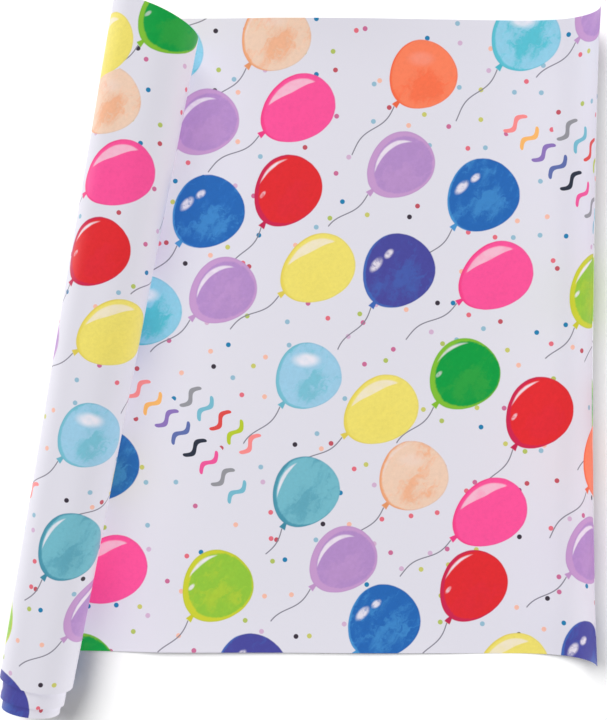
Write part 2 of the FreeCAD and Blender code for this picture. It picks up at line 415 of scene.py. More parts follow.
def lead_in(material):
    """The strip that leaves the flat web and follows the roll up its left side."""
    columns = 30
    across = np.linspace(-HALF_WIDTH, HALF_WIDTH, WEB_ROWS)[None, :]
    angle = np.linspace(CONTACT_ANGLE, CONTACT_ANGLE + LEAD_IN_TURN, columns)[:, None]
    turn = np.radians(angle)
    stand_off = LEAD_IN_CLEARANCE + PAPER
    along = across
    # the roll is skewed, so the place along it is worked out from the place across
    for _ in range(4):
        outside = roll.radius(along) + stand_off
        side = outside * (np.cos(turn) * roll.left.y + np.sin(turn) * roll.up.y)
        along = (across - roll.base.y - side) / roll.along.y
    outside = roll.radius(along) + stand_off
    place = roll_print(angle, along)
    piece = round_piece("lead_in_paper", angle, outside, outside - PAPER, along, place)
    return finish_piece(piece, material, "printed_paper", "lead_in_strip", body="lead_in")


# -------- the core and its tape

# How much the plies' rims are softened, and how far in from the end.
RIM_SOFTENING = 0.2 * MM
RIM_REACH = 1 * MM
TAPE_START = -115.0
TAPE_END = -65.0


def plain_map(angle, radius, along):
    """A map in metres round the roll and along it, for the cardboard and the tape."""
    return np.stack(np.broadcast_arrays(np.radians(angle) * radius, along), axis=-1)


def tube(name, outside, inside, near, far, material, node):
    """One ply of the core, with softened rims."""
    columns, rows = 96, 60
    angle = (360.0 * np.arange(columns + 1) / columns)[:, None]
    along = even_steps(near, far, rows)
    from_end = np.minimum(along - near, far - along)
    softened = RIM_SOFTENING * np.clip(1 - from_end / RIM_REACH, 0, 1) ** 2
    place = plain_map(angle, outside, along)
    piece = round_piece(name, angle, outside - softened, inside + softened, along, place, closed=True)
    return finish_piece(piece, material, "core_board", node, body="inner_coil")


def core(material):
    """The two wound plies of the cardboard tube."""
    near, far = roll.ends("core_outer_ply")
    between = roll.measure("core_outer_ply")[1].min()
    return [
        tube("core_outer_board", roll.core_radius, between, near, far, material, "core_outer_ply"),
        tube("core_inner_board", between, roll.core_bore, near, far, material, "core_inner_ply"),
    ]


def start_tape(material):
    """The tape that holds the paper's inner end on the core."""
    columns, rows = 16, 24
    near, far = roll.ends("start_tape")
    radius = roll.measure("start_tape")[1]
    angle = np.linspace(TAPE_START, TAPE_END, columns)[:, None]
    along = even_steps(near, far, rows)
    place = plain_map(angle, radius.max(), along)
    piece = round_piece("core_tape", angle, radius.max(), radius.min(), along, place)
    return finish_piece(piece, material, "clear_tape", "start_tape", body="inner_coil")


# -------- node helpers


class Nodes:
    """Short ways to add the shader nodes used here; a value is a number, a tuple or a socket."""

    def __init__(self, tree):
        self.tree = tree

    def put(self, socket, value):
        if isinstance(value, bpy.types.NodeSocket):
            self.tree.links.new(value, socket)
        else:
            socket.default_value = value

    def add(self, kind, inputs=(), **settings):
        """Add a node with some settings and inputs; inputs are pairs of a key and a value."""
        node = self.tree.nodes.new(kind)
        for name, value in settings.items():
            setattr(node, name, value)
        for key, value in dict(inputs).items():
            self.put(node.inputs[key], value)
        return node.outputs

    def math(self, operation, *values, clamp=False):
        inputs = enumerate(values)
        return self.add("ShaderNodeMath", inputs, operation=operation, use_clamp=clamp)[0]

    def times(self, a, b):
        return self.math("MULTIPLY", a, b)

    def minus(self, a, b):
        return self.math("SUBTRACT", a, b)

    def times_plus(self, a, b, c):
        """a times b, plus c."""
        return self.math("MULTIPLY_ADD", a, b, c)

    def vector(self, operation, *values):
        outputs = self.add("ShaderNodeVectorMath", enumerate(values), operation=operation)
        return outputs["Value" if operation in ("LENGTH", "DISTANCE") else "Vector"]

    def scaled(self, vector, factor):
        return self.add("ShaderNodeVectorMath", {0: vector, "Scale": factor}, operation="SCALE")[0]

    def combine(self, x, y, z=0.0):
        return self.add("ShaderNodeCombineXYZ", {0: x, 1: y, 2: z})[0]

    def separate(self, vector):
        return self.add("ShaderNodeSeparateXYZ", {0: vector})

    def mix(self, factor, a, b):
        inputs = {0: factor, 6: a, 7: b}
        return self.add("ShaderNodeMix", inputs, data_type="RGBA", clamp_factor=True)[2]

    def mix_vector(self, factor, a, b):
        inputs = {0: factor, 4: a, 5: b}
        return self.add("ShaderNodeMix", inputs, data_type="VECTOR", clamp_factor=True)[1]

    def step(self, value, start, end):
        """0 at start and 1 at end, eased; start may be above end."""
        inputs = {"Value": value, "From Min": start, "From Max": end}
        return self.add("ShaderNodeMapRange", inputs, interpolation_type="SMOOTHSTEP")[0]

    def noise(self, vector, scale, detail=2.0, rough=0.5):
        inputs = {"Vector": vector, "Scale": scale, "Detail": detail, "Roughness": rough}
        return self.add("ShaderNodeTexNoise", inputs)[0]

    def chooser(self, share, colours):
        """One of several colours, by a share from 0 to 1; a fourth number is the alpha."""
        node = self.tree.nodes.new("ShaderNodeValToRGB")
        node.color_ramp.interpolation = "CONSTANT"
        stops = node.color_ramp.elements
        while len(stops) < len(colours):
            stops.new(len(stops) / len(colours))
        for index, colour in enumerate(colours):
            stops[index].position = index / len(colours)
            stops[index].color = tuple(colour) if len(colour) == 4 else (*colour, 1.0)
        self.put(node.inputs[0], share)
        return node.outputs


# -------- the artwork of the print

# Every tint of balloon: its two colours; its half length and half width and its string's
# length in mm; its lean in degrees; how patchy the paint is and the rim's width; then the
# highlight's strength, outer edge, depth, spread and turn towards the tip, as shares of the
# balloon; and the strength of the window reflections (panes) and of a soft bright oval (glow).
# What a tint leaves out is as in PLAIN.
PLAIN = dict(shine=0.0, edge=0.84, depth=0.10, spread=0.66, turn=0.0, panes=0.0, glow=0.0)
TINTS = {
    "pink": PLAIN | dict(
        body=(254, 84, 156), second=(250, 64, 138), length=45, width=35.5, lean=35, string=70,
        patchy=0.05, rim=0.06, shine=0.55, depth=0.33, spread=0.95, turn=0.24,
    ),
    "yellow": PLAIN | dict(
        body=(242, 226, 112), second=(234, 214, 88), length=45, width=36, lean=35, string=66,
        patchy=0.10, rim=0.06, shine=0.58, depth=0.31, spread=0.95, turn=0.24,
    ),
    "red": PLAIN | dict(
        body=(228, 42, 48), second=(204, 36, 84), length=42.5, width=36, lean=55, string=46,
        patchy=0.10, rim=0.12, shine=0.90, edge=0.86, turn=0.34, panes=0.6,
    ),
    "lilac": PLAIN | dict(
        body=(182, 142, 202), second=(204, 158, 208), length=41, width=34.5, lean=42, string=57,
        patchy=0.25, rim=0.20, shine=0.85, edge=0.74, depth=0.17, spread=1.15, turn=0.10,
    ),
    "blue": PLAIN | dict(
        body=(36, 104, 182), second=(76, 156, 216), length=43, width=39, lean=48, string=60,
        patchy=0.50, rim=0.03, panes=0.85,
    ),
    "navy": PLAIN | dict(
        body=(74, 74, 158), second=(66, 110, 190), length=43, width=39.5, lean=54, string=60,
        patchy=0.45, rim=0.06, panes=0.85,
    ),
    "peach": PLAIN | dict(
        body=(242, 208, 184), second=(242, 160, 108), length=40, width=38, lean=47, string=50,
        patchy=0.60, rim=0.06, shine=0.25, edge=0.90, spread=0.90, glow=0.15,
    ),
    "orange": PLAIN | dict(
        body=(255, 132, 94), second=(250, 108, 68), length=39.5, width=37.5, lean=48, string=72,
        patchy=0.70, rim=0.05, glow=0.10,
    ),
    "cyan": PLAIN | dict(
        body=(146, 208, 232), second=(78, 192, 208), length=40, width=38, lean=50, string=74,
        patchy=0.90, rim=0.10, glow=0.85,
    ),
    "sky": PLAIN | dict(
        body=(158, 206, 232), second=(112, 190, 208), length=38.5, width=36, lean=48, string=58,
        patchy=0.80, rim=0.09, glow=0.90,
    ),
    "teal": PLAIN | dict(
        body=(118, 188, 204), second=(66, 144, 168), length=41, width=36.5, lean=58, string=34,
        patchy=0.50, rim=0.10, shine=0.85, depth=0.13, spread=0.75, turn=0.05,
    ),
    "green": PLAIN | dict(
        body=(6, 158, 66), second=(140, 198, 50), length=42, width=38, lean=47, string=58,
        patchy=0.08, rim=0.15, shine=0.80, edge=0.86, turn=0.36, panes=0.5,
    ),
    "lime": PLAIN | dict(
        body=(148, 200, 62), second=(214, 212, 52), length=42, width=38.5, lean=50, string=48,
        patchy=0.30, rim=0.17, shine=0.95, depth=0.12, turn=0.30, panes=0.8,
    ),
}
# Sizes and leans are coded as shares of these, to fit the range of a colour.
LENGTH_CODE = 50.0
STRING_CODE = 100.0
LEAN_CODE = 90.0
CODES = {"length": LENGTH_CODE, "width": LENGTH_CODE, "lean": LEAN_CODE, "string": STRING_CODE}

# The balloons of one repeat of the print: tint and centre on the flat web, in millimetres.
BALLOONS = [
    ("cyan", -153, 312), ("lilac", -112, 234), ("blue", -108, 135), ("lilac", -91, 48),
    ("cyan", -175, 25), ("blue", -223, -146), ("pink", -214, -262), ("green", -246, -372),
    ("lime", -95, -279), ("navy", -57, -372),
    ("yellow", -56, 392), ("green", 26, 431), ("peach", -34, 329), ("pink", -9, 250),
    ("red", -20, 159), ("yellow", 14, 73), ("sky", 4, -46), ("teal", 2, -174),
    ("lilac", 44, -249),
    ("orange", 129, 288), ("lilac", 105, 188), ("navy", 103, 71), ("yellow", 85, -83),
    ("peach", 121, -156), ("blue", 89, -317),
    ("cyan", 242, 331), ("blue", 196, 155), ("pink", 211, 66), ("green", 177, -43),
    ("red", 260, -85), ("pink", 206, -196), ("red", 188, -277), ("yellow", 231, -368),
    ("lilac", 334, 354), ("lime", 331, 47), ("orange", 350, -134), ("lilac", 327, -232),
    ("navy", 324, -350),
    ("orange", -90, -470), ("lilac", -102, -560), ("navy", -111, -665),
    ("teal", 20, -480), ("pink", 140, -440), ("sky", 230, -490), ("peach", 120, -600),
    ("red", 10, -620), ("yellow", 250, -640), ("lime", -210, -560),
]
# The print starts again this far along the web, stepped up by the drop.
REPEAT = 625.0
REPEAT_START = -265.0
DROP = 302.0
PERIOD = 1218.0
PERIOD_START = -760.0
LONGEST = 45.0
COMMON_LEAN = 48.0
KNOT_LENGTH = 6.5
STRING_LENGTH = 74.0
STRING_WAVE = 66.0
STRING_SWAY = 3.4
# How far from its line the string's ink starts and is full.
STRING_FADE = (0.95, 0.40)
STRING_TAPER = 1.5
# Slanting rows of short wavy streamers: start of the row, its slope in degrees, how many, spacing.
STREAMER_ROWS = [
    (-133, -62, -38, 5, 21.0), (-190, -52, -46, 8, 22.5),
    (282, 234, -38, 5, 21.0), (225, 244, -46, 8, 22.5),
]
STREAMER_REACH = 12.5
STREAMER_WAVE = 23.0
STREAMER_SWAY = 2.9
STREAMER_BREADTH = 5.6
STREAMER_SOFTNESS = 0.3
# How clear of a row of streamers the dots stay.
CLEAR_BEYOND = 8
CLEAR_BESIDE = 22.0
DOT_SPACING = 31.0
DOT_RADIUS = 2.7
DOT_SOFTNESS = 0.4
EMPTY_CELLS = 0.10
DOT_COLOURS = [
    (196, 84, 98), (206, 110, 152), (204, 204, 110), (30, 128, 176), (150, 190, 210),
    (214, 180, 210), (248, 190, 170), (58, 50, 62), (232, 112, 128), (180, 196, 100),
]
STREAMER_COLOURS = [
    (242, 88, 156), (142, 116, 186), (186, 204, 50), (150, 150, 156), (96, 112, 172),
    (252, 142, 142), (120, 188, 208), (44, 50, 66), (252, 186, 106), (226, 76, 74),
]
PAPER_WHITE = (227, 225, 235)
STRING_GREY = (136, 134, 146)
HIGHLIGHT = (246, 238, 246)
FAR_AWAY = 9000.0


def linear(red, green, blue):
    """A display colour from 0 to 255, as the linear colour that shaders use."""
    channels = []
    for value in (red, green, blue):
        share = value / 255
        low = share / 12.92
        high = ((share + 0.055) / 1.055) ** 2.4
        channels.append(low if share <= 0.04045 else high)
    return tuple(channels)


def ink(colour):
    """A display colour as the four linear numbers of a colour socket."""
    return (*linear(*colour), 1.0)


def balloon_copies():
    """Every balloon that reaches into one repeat, with its neighbours' overlapping copies."""
    reach = LONGEST + STRING_LENGTH
    copies = []
    for tint, x, y in BALLOONS:
        for shift in (-1, 0, 1):
            place = x + shift * REPEAT
            if REPEAT_START - LONGEST < place < REPEAT_START + REPEAT + reach:
                copies.append((tint, place, y + shift * DROP))
    return copies


def wrapped_place(nodes, place):
    """The place in millimetres, brought back into the first repeat of the print."""
    x, y, _ = nodes.separate(nodes.scaled(place, 1 / MM))
    into = nodes.math("DIVIDE", nodes.minus(x, REPEAT_START), REPEAT)
    repeats = nodes.math("FLOOR", into)
    x = nodes.times_plus(repeats, -REPEAT, x)
    y = nodes.times_plus(repeats, -DROP, y)
    y = nodes.math("WRAP", y, PERIOD_START + PERIOD, PERIOD_START)
    return nodes.combine(x, y)


def nearer(nodes, best, offset, distance):
    """The nearer of the best offset so far and another one, with its distance."""
    closer = nodes.math("LESS_THAN", distance, best[1])
    return nodes.mix_vector(closer, best[0], offset), nodes.math("MINIMUM", distance, best[1])


def nearest_balloons(nodes, place):
    """Offsets from the balloon and from the string nearest to a place.

    The third number of an offset is the balloon's tint, in thousandths.
    """
    lean = math.radians(COMMON_LEAN)
    middle = LONGEST + STRING_LENGTH / 2
    string_middle = (-middle * math.cos(lean), -middle * math.sin(lean), 0.0)
    body = string = ((FAR_AWAY, FAR_AWAY, 0.0), FAR_AWAY)
    for tint, x, y in balloon_copies():
        centre = (x, y, -(list(TINTS).index(tint) + 0.5) * MM)
        offset = nodes.vector("SUBTRACT", place, centre)
        body = nearer(nodes, body, offset, nodes.vector("LENGTH", offset))
        string = nearer(nodes, string, offset, nodes.vector("DISTANCE", offset, string_middle))
    return body[0], string[0]


def tint_numbers(nodes, offset, *names):
    """Up to four numbers of the tint coded in an offset, each coded from 0 to 1."""
    tint = nodes.math("DIVIDE", nodes.separate(offset)[2], len(TINTS) * MM)
    padded = [*names] + [names[0]] * (4 - len(names))
    rows = [[style[name] / CODES.get(name, 1.0) for name in padded] for style in TINTS.values()]
    colour, last = nodes.chooser(tint, rows)
    numbers = list(nodes.separate(colour)) + [last]
    return numbers[:len(names)]


def tint_colour(nodes, offset, name):
    """A colour of the tint coded in an offset."""
    tint = nodes.math("DIVIDE", nodes.separate(offset)[2], len(TINTS) * MM)
    return dye_colour(nodes, tint, [style[name] for style in TINTS.values()])


def dye_colour(nodes, share, colours):
    """One of several display colours, by a share from 0 to 1."""
    return nodes.chooser(share, [linear(*colour) for colour in colours])[0]


def turned(nodes, offset, angle):
    """An offset's parts along a direction, given as an angle in radians, and to its left."""
    x, y, _ = nodes.separate(offset)
    cosine = nodes.math("COSINE", angle)
    sine = nodes.math("SINE", angle)
    forward = nodes.times_plus(y, sine, nodes.times(x, cosine))
    left = nodes.minus(nodes.times(y, cosine), nodes.times(x, sine))
    return forward, left


def painted_string(nodes, offset, colour):
    """The thin drawn string, an S from the knot away from the balloon."""
    length, lean, string = tint_numbers(nodes, offset, "length", "lean", "string")
    forward, left = turned(nodes, offset, nodes.times(lean, math.radians(LEAN_CODE)))
    knot_end = nodes.times_plus(length, LENGTH_CODE, KNOT_LENGTH - 0.5)
    run = nodes.minus(nodes.times(forward, -1.0), knot_end)
    sway = nodes.math("SINE", nodes.times(run, 2 * math.pi / STRING_WAVE))
    across = nodes.math("ABSOLUTE", nodes.times_plus(sway, STRING_SWAY, left))
    line = nodes.step(across, *STRING_FADE)
    after = nodes.step(run, -0.5, 0.5)
    left_over = nodes.times_plus(string, STRING_CODE, nodes.times(run, -1.0))
    before = nodes.step(left_over, 0.0, STRING_TAPER)
    mask = nodes.times(nodes.times(line, after), before)
    return nodes.mix(mask, colour, ink(STRING_GREY))


# Window reflections: centre and half size, in shares of the balloon along it and to its left.
TWO_PANES = [((-0.17, 0.61, 0.0), (0.20, 0.12)), ((0.25, 0.47, 0.0), (0.13, 0.09))]
ONE_PANE = [((-0.42, 0.58, 0.0), (0.10, 0.06))]
PANE_SLANT = 0.35
# The soft bright oval, in millimetres from the balloon's centre.
GLOW_CENTRE = (-1.0, 19.0, 0.0)
GLOW_REACH = (17.0, 9.0)
# Where a pane and the oval start to show and are full, in shares of their size.
PANE_FADE = (1.35, 0.55)
GLOW_FADE = (1.15, 0.35)
# How softly the crescent ends.
CRESCENT_OUTER = 0.03
CRESCENT_INNER = 0.05
CRESCENT_TIPS = 0.25
# With less shine than this there is no crescent, and two panes instead of one.
LEAST_SHINE = 0.05


def window(nodes, spot, panes):
    """1 inside soft-edged panes, leaning along the balloon, and 0 outside them."""
    total = 0.0
    for centre, (reach_along, reach_across) in panes:
        along, across, _ = nodes.separate(nodes.vector("SUBTRACT", spot, centre))
        along = nodes.times_plus(across, PANE_SLANT, along)
        along = nodes.math("DIVIDE", nodes.math("ABSOLUTE", along), reach_along)
        across = nodes.math("DIVIDE", nodes.math("ABSOLUTE", across), reach_across)
        pane = nodes.step(nodes.vector("LENGTH", nodes.combine(along, across)), *PANE_FADE)
        total = nodes.math("MAXIMUM", total, pane)
    return total


def crescent(nodes, offset, radius, length, width):
    """1 inside the pointed highlight that follows the balloon's upper left edge."""
    edge, depth, spread, turn = tint_numbers(nodes, offset, "edge", "depth", "spread", "turn")
    around = nodes.minus(nodes.math("ARCTAN2", length, width), turn)
    around = nodes.math("DIVIDE", around, spread)
    pointed = nodes.minus(1.0, nodes.times(around, around))
    inner = nodes.times_plus(nodes.times(depth, -1.0), pointed, edge)
    outer_start = nodes.math("ADD", edge, CRESCENT_OUTER)
    below_edge = nodes.step(radius, outer_start, nodes.minus(edge, CRESCENT_OUTER))
    above_inner = nodes.step(radius, inner, nodes.math("ADD", inner, CRESCENT_INNER))
    band = nodes.times(below_edge, above_inner)
    return nodes.times(band, nodes.step(pointed, 0.0, CRESCENT_TIPS))


def highlight(nodes, place, offset, radius, length, width):
    """How bright the balloon's reflections are: a crescent, window panes or a soft oval."""
    shine, panes, glow = tint_numbers(nodes, offset, "shine", "panes", "glow")
    bright = nodes.times(crescent(nodes, offset, radius, length, width), shine)

    spot = nodes.combine(length, width)
    without_crescent = nodes.math("LESS_THAN", shine, LEAST_SHINE)
    two = nodes.times(window(nodes, spot, TWO_PANES), without_crescent)
    one = nodes.times(window(nodes, spot, ONE_PANE), nodes.minus(1.0, without_crescent))
    lit_panes = nodes.times(nodes.math("MAXIMUM", one, two), panes)
    brush = nodes.step(nodes.noise(place, 0.16, 3.0, 0.6), 0.30, 0.55)
    lit_panes = nodes.times(lit_panes, nodes.times_plus(brush, 0.65, 0.35))

    oval = nodes.vector("SUBTRACT", offset, GLOW_CENTRE)
    oval = nodes.vector("DIVIDE", oval, (*GLOW_REACH, 1.0))
    oval = nodes.step(nodes.vector("LENGTH", oval), *GLOW_FADE)
    bright = nodes.math("MAXIMUM", bright, nodes.times(oval, glow))
    grain = nodes.math("MULTIPLY_ADD", nodes.noise(place, 0.10, 3.0), 0.9, 0.50, clamp=True)
    return nodes.math("MAXIMUM", nodes.times(bright, grain), lit_panes)


# Where the second colour gathers, in shares of the balloon along it and to its left.
PATCH_CENTRE = (-0.15, -0.34, 0.0)
PATCH_FADE = (0.80, 0.10)
# Brush strokes are longer along the balloon than across it, and bent by this many mm.
STROKE_SHARE = 0.30
STROKE_BEND = 22.0
# The balloon widens towards its tip; its outline wobbles and fades out.
TIP_SPREAD = 0.15
OUTLINE_WOBBLE = 0.022
EDGE_FADE = (1.0, 0.965)
OUTLINE_FADE = (0.93, 0.99)
# How the rim's breadth changes towards the tip and towards the left, and how uneven it is.
RIM_TO_TIP = -0.07
RIM_TO_LEFT = 0.06
RIM_UNEVEN = 0.14
RIM_FADE = 0.07
KNOT_HALF_WIDTH = 2.1
KNOT_FLARE = 0.26


def brush_marks(nodes, forward, left, wobble):
    """Long uneven strokes along the balloon."""
    strokes = nodes.combine(nodes.times(forward, STROKE_SHARE), left, 0.0)
    bend = nodes.scaled(nodes.combine(wobble, wobble), STROKE_BEND)
    return nodes.noise(nodes.vector("ADD", strokes, bend), 0.085, 4.0, 0.62)


def watercolour(nodes, place, offset, spot, brushed, second):
    """The tint's first colour, with patches of the second gathered at the lower right."""
    patchy = tint_numbers(nodes, offset, "patchy")[0]
    broad = nodes.noise(place, 0.028, 2.0)
    patches = nodes.times_plus(broad, 0.4, nodes.times(brushed, 0.6))
    gathered = nodes.step(nodes.vector("DISTANCE", spot, PATCH_CENTRE), *PATCH_FADE)
    patches = nodes.times_plus(gathered, 0.17, nodes.minus(patches, 0.06))
    patch = nodes.times(nodes.step(patches, 0.44, 0.60), patchy)
    paint = nodes.mix(patch, tint_colour(nodes, offset, "body"), second)
    wash = nodes.times_plus(nodes.noise(place, 0.22, 4.0, 0.7), 0.22, 0.89)
    wash = nodes.times_plus(brushed, 0.16, nodes.minus(wash, 0.08))
    return nodes.vector("MULTIPLY", paint, nodes.combine(wash, wash, wash))


def rimmed(nodes, paint, second, rim_width, brushed, radius, length, width):
    """The paint with a rim of the second colour and a darker outline."""
    slanted = nodes.times_plus(length, RIM_TO_TIP, radius)
    slanted = nodes.times_plus(width, RIM_TO_LEFT, slanted)
    slanted = nodes.times_plus(nodes.minus(brushed, 0.5), RIM_UNEVEN, slanted)
    rim_start = nodes.minus(1.0, rim_width)
    rim = nodes.step(slanted, rim_start, nodes.math("ADD", rim_start, RIM_FADE))
    paint = nodes.mix(nodes.times(rim, 0.85), paint, second)
    outline = nodes.times(nodes.step(radius, *OUTLINE_FADE), 0.6)
    return nodes.mix(outline, paint, nodes.vector("MULTIPLY", paint, (0.82, 0.82, 0.86)))


def knotted(nodes, colour, second, beyond, left, wobble):
    """The colour with the knot on it, flaring away from the balloon."""
    flare = nodes.times_plus(beyond, KNOT_FLARE, KNOT_HALF_WIDTH)
    beside = nodes.minus(nodes.math("ABSOLUTE", left), flare)
    beside = nodes.times_plus(wobble, 1.6, beside)
    end = nodes.step(beyond, KNOT_LENGTH, KNOT_LENGTH - 1.5)
    knot = nodes.times(nodes.step(beside, 0.7, -0.5), end)
    knot = nodes.times(knot, nodes.math("GREATER_THAN", beyond, -2.0))
    return nodes.mix(knot, colour, nodes.vector("MULTIPLY", second, (0.90, 0.90, 0.92)))


def painted_balloon(nodes, place, offset, colour):
    """The balloon in watercolour, with its rim, outline, highlight and knot."""
    length, width, lean, rim_width = tint_numbers(nodes, offset, "length", "width", "lean", "rim")
    second = tint_colour(nodes, offset, "second")
    forward, left = turned(nodes, offset, nodes.times(lean, math.radians(LEAN_CODE)))
    half_length = nodes.times(length, LENGTH_CODE)
    half_width = nodes.times(width, LENGTH_CODE)
    length = nodes.math("DIVIDE", forward, half_length)
    widening = nodes.times(half_width, nodes.times_plus(length, TIP_SPREAD, 1.0))
    width = nodes.math("DIVIDE", left, widening)
    spot = nodes.combine(length, width)
    wobble = nodes.minus(nodes.noise(place, 0.09, 3.0), 0.5)
    radius = nodes.times_plus(wobble, OUTLINE_WOBBLE, nodes.vector("LENGTH", spot))
    brushed = brush_marks(nodes, forward, left, wobble)
    paint = watercolour(nodes, place, offset, spot, brushed, second)
    paint = rimmed(nodes, paint, second, rim_width, brushed, radius, length, width)
    bright = highlight(nodes, place, offset, radius, length, width)
    paint = nodes.mix(bright, paint, ink(HIGHLIGHT))
    beyond = nodes.minus(nodes.times(forward, -1.0), half_length)
    colour = knotted(nodes, colour, second, beyond, left, wobble)
    return nodes.mix(nodes.step(radius, *EDGE_FADE), colour, paint)


def painted_dots(nodes, place, colour):
    """Confetti: a small soft dot in most cells of a scattered pattern."""
    inputs = {"Vector": place, "Scale": 1 / DOT_SPACING}
    cells = nodes.add("ShaderNodeTexVoronoi", inputs, voronoi_dimensions="2D")
    distance = nodes.times(cells["Distance"], DOT_SPACING)
    pick, keep, _ = nodes.separate(cells["Color"])
    dot = nodes.step(distance, DOT_RADIUS + DOT_SOFTNESS, DOT_RADIUS - DOT_SOFTNESS)
    dot = nodes.times(dot, nodes.math("GREATER_THAN", keep, EMPTY_CELLS))
    return nodes.mix(dot, colour, dye_colour(nodes, pick, DOT_COLOURS))


def painted_streamers(nodes, place, colour, row):
    """One slanting row of short wavy streamers in bright colours."""
    x, y, slope, count, spacing = row
    offset = nodes.vector("SUBTRACT", place, (x, y, 0.0))
    down, across = turned(nodes, offset, math.radians(slope))
    item = nodes.math("FLOOR", nodes.math("DIVIDE", down, spacing))
    centred = nodes.times_plus(item, -spacing, nodes.minus(down, spacing / 2))
    odd = nodes.times_plus(nodes.math("PINGPONG", item, 1.0), 2.0, -1.0)
    wave = nodes.math("SINE", nodes.times(across, 2 * math.pi / STREAMER_WAVE))
    path = nodes.times(nodes.times(wave, odd), STREAMER_SWAY)
    past_end = nodes.minus(nodes.math("ABSOLUTE", across), STREAMER_REACH)
    past_end = nodes.math("MAXIMUM", past_end, 0.0)
    beside = nodes.minus(centred, path)
    distance = nodes.vector("LENGTH", nodes.combine(past_end, beside))
    half = STREAMER_BREADTH / 2
    stroke = nodes.step(distance, half + STREAMER_SOFTNESS, half - STREAMER_SOFTNESS)
    stroke = nodes.times(stroke, nodes.math("GREATER_THAN", item, -0.5))
    stroke = nodes.times(stroke, nodes.math("LESS_THAN", item, count - 0.5))
    pick = nodes.math("FRACT", nodes.times_plus(item, 0.3, 0.05 + count / 16))
    return nodes.mix(stroke, colour, dye_colour(nodes, pick, STREAMER_COLOURS))


def clear_of_streamers(nodes, place):
    """1 where confetti dots may lie, 0 among the streamers."""
    clear = 1.0
    for x, y, slope, count, spacing in STREAMER_ROWS:
        slope = math.radians(slope)
        half = count * spacing / 2
        middle = Vector((x, y, 0)) + half * Vector((math.cos(slope), math.sin(slope), 0))
        offset = nodes.vector("SUBTRACT", place, tuple(middle))
        down, across = turned(nodes, offset, slope)
        down = nodes.math("DIVIDE", down, half + CLEAR_BEYOND)
        across = nodes.math("DIVIDE", across, CLEAR_BESIDE)
        reach = nodes.vector("LENGTH", nodes.combine(down, across))
        clear = nodes.math("MINIMUM", clear, nodes.math("GREATER_THAN", reach, 1.0))
    return clear


def print_group():
    """The whole print as a node group: a place on the web in metres in, its colour out."""
    tree = bpy.data.node_groups.new("gift_wrap_print", "ShaderNodeTree")
    tree.interface.new_socket("Place", in_out="INPUT", socket_type="NodeSocketVector")
    tree.interface.new_socket("Ink", in_out="OUTPUT", socket_type="NodeSocketColor")
    nodes = Nodes(tree)
    place = wrapped_place(nodes, nodes.add("NodeGroupInput")[0])
    body_offset, string_offset = nearest_balloons(nodes, place)
    dots = painted_dots(nodes, place, ink(PAPER_WHITE))
    colour = nodes.mix(clear_of_streamers(nodes, place), ink(PAPER_WHITE), dots)
    for row in STREAMER_ROWS:
        colour = painted_streamers(nodes, place, colour, row)
    colour = painted_string(nodes, string_offset, colour)
    colour = painted_balloon(nodes, place, body_offset, colour)
    nodes.add("NodeGroupOutput", {0: colour})
    return tree


# -------- materials

SEAM_PITCH = 65.0
SEAM_SLANT = 0.53
BOARD_DARK = (150, 128, 104)
BOARD_LIGHT = (190, 168, 140)
BOARD_CLOUD = (164, 146, 124)
BOARD_SEAM = (92, 74, 58)
TAPE_DARK = (214, 206, 176)
TAPE_LIGHT = (236, 230, 208)


def new_material(name):
    """A material with only a Principled surface, and its nodes helper."""
    material = bpy.data.materials.new(name)
    material.use_nodes = True
    surface = material.node_tree.nodes["Principled BSDF"]
    return material, Nodes(material.node_tree), surface


def bump(nodes, surface, height, strength, distance):
    """Raise a surface by a height value."""
    inputs = {"Height": height, "Strength": strength, "Distance": distance}
    nodes.put(surface.inputs["Normal"], nodes.add("ShaderNodeBump", inputs)[0])


def printed_paper(name, artwork, on_table):
    """Smooth gift wrap with a slight sheen.

    The flat web takes its print from where it lies, so that it doesn't stretch when
    the roll takes the web up; every other piece takes it from its own map.
    """
    material, nodes, surface = new_material(name)
    place = nodes.add("ShaderNodeTexCoord")["Object"]
    if not on_table:
        place = nodes.add("ShaderNodeUVMap", uv_map="print")[0]
    colour = nodes.add("ShaderNodeGroup", {0: place}, node_tree=artwork)[0]
    nodes.put(surface.inputs["Base Color"], colour)
    millimetres = nodes.scaled(place, 1 / MM)
    fibre = nodes.noise(millimetres, 0.9, 3.0, 0.6)
    cloudy = nodes.noise(millimetres, 0.03, 2.0)
    roughness = nodes.times_plus(cloudy, 0.12, 0.36)
    nodes.put(surface.inputs["Roughness"], roughness)
    surface.inputs["Specular IOR Level"].default_value = 0.3
    surface.inputs["Coat Weight"].default_value = 0.06
    surface.inputs["Coat Roughness"].default_value = 0.35
    bump(nodes, surface, fibre, strength=0.08, distance=0.05 * MM)
    return material


def mapped_place(nodes):
    """A place on the piece's own map, in millimetres."""
    return nodes.scaled(nodes.add("ShaderNodeUVMap", uv_map="print")[0], 1 / MM)


